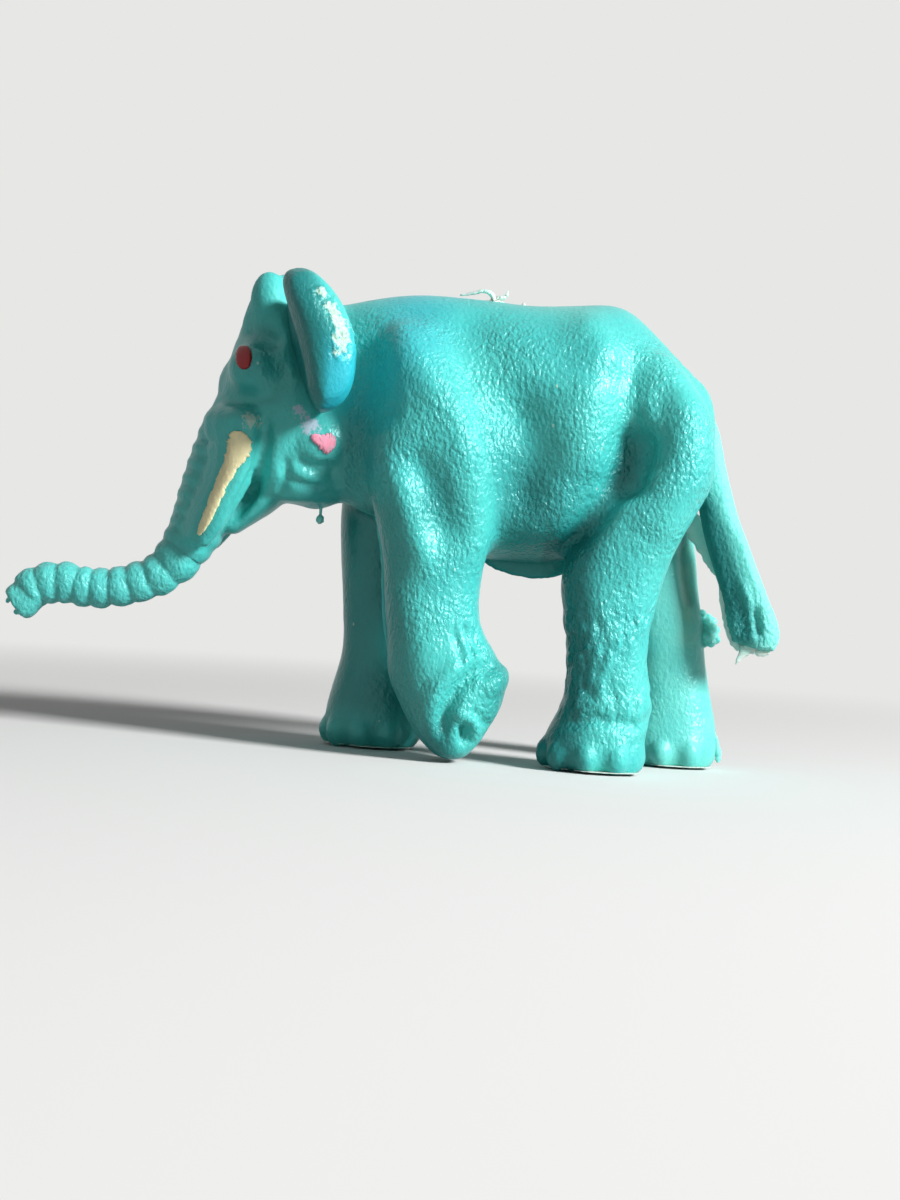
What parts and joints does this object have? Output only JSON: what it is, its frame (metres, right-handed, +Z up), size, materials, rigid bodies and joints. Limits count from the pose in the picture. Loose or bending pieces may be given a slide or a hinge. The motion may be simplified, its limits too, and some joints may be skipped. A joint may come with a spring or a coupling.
{
  "type": "rubber elephant figure",
  "caption": "Small walking elephant figure moulded in soft turquoise rubber, with a ringed trunk, painted tusks and eyes, and a trunk, ears and tail that flex.",
  "frame": {"origin": "on the ground under the middle of the figure's overall box", "axes": "the elephant looks along -X, +Y is its right side and +Z is up"},
  "size_m": [0.0646, 0.0244, 0.0393],
  "materials": {
    "body_rubber": "satin, slightly translucent moulded rubber with a leathery grain",
    "tusk_paint": "thin brushed cream paint",
    "eye_paint": "a glossy dab of dark red paint",
    "cheek_paint": "a worn dab of pink paint"
  },
  "bodies": {
    "figure": {"torso": "body_rubber", "gate_stub": "body_rubber", "foreleg_left": "body_rubber", "foreleg_right": "body_rubber", "hindleg_left": "body_rubber", "hindleg_right": "body_rubber", "head": "body_rubber", "lower_jaw": "body_rubber", "trunk_root": "body_rubber", "tusk_left": "body_rubber", "tusk_right": "body_rubber", "tusk_paint_left": "tusk_paint", "tusk_paint_right": "tusk_paint", "eye_paint_left": "eye_paint", "eye_paint_right": "eye_paint", "cheek_paint_left": "cheek_paint", "cheek_paint_right": "cheek_paint"},
    "trunk_middle": {"trunk_middle": "body_rubber"},
    "trunk_end": {"trunk_end": "body_rubber"},
    "tail": {"tail": "body_rubber"},
    "ear_left": {"ear_left": "body_rubber"},
    "ear_right": {"ear_right": "body_rubber"}
  },
  "joints": [
    {"name": "trunk_flex", "type": "hinge", "parent": "figure", "child": "trunk_middle", "pos_m": [-0.01983, 0, 0.01354], "axis": [0, 1, 0], "range_deg": [-30, 35], "stiffness_Nm_per_rad": 0.0015},
    {"name": "trunk_tip_flex", "type": "hinge", "parent": "trunk_middle", "child": "trunk_end", "pos_m": [-0.0264, 0, 0.01219], "axis": [0, 1, 0], "range_deg": [-30, 35], "stiffness_Nm_per_rad": 0.0012},
    {"name": "tail_flex", "type": "hinge", "parent": "figure", "child": "tail", "pos_m": [0.02612, 0, 0.0236], "axis": [0.9686, 0, 0.2487], "range_deg": [-25, 25], "stiffness_Nm_per_rad": 0.0006},
    {"name": "ear_left_flex", "type": "hinge", "parent": "figure", "child": "ear_left", "pos_m": [-0.00828, -0.0041, 0.032], "axis": [-0.309, 0, 0.9511], "range_deg": [-25, 15], "stiffness_Nm_per_rad": 0.002},
    {"name": "ear_right_flex", "type": "hinge", "parent": "figure", "child": "ear_right", "pos_m": [-0.00828, 0.0041, 0.032], "axis": [-0.309, 0, 0.9511], "range_deg": [-15, 25], "stiffness_Nm_per_rad": 0.002}
  ]
}
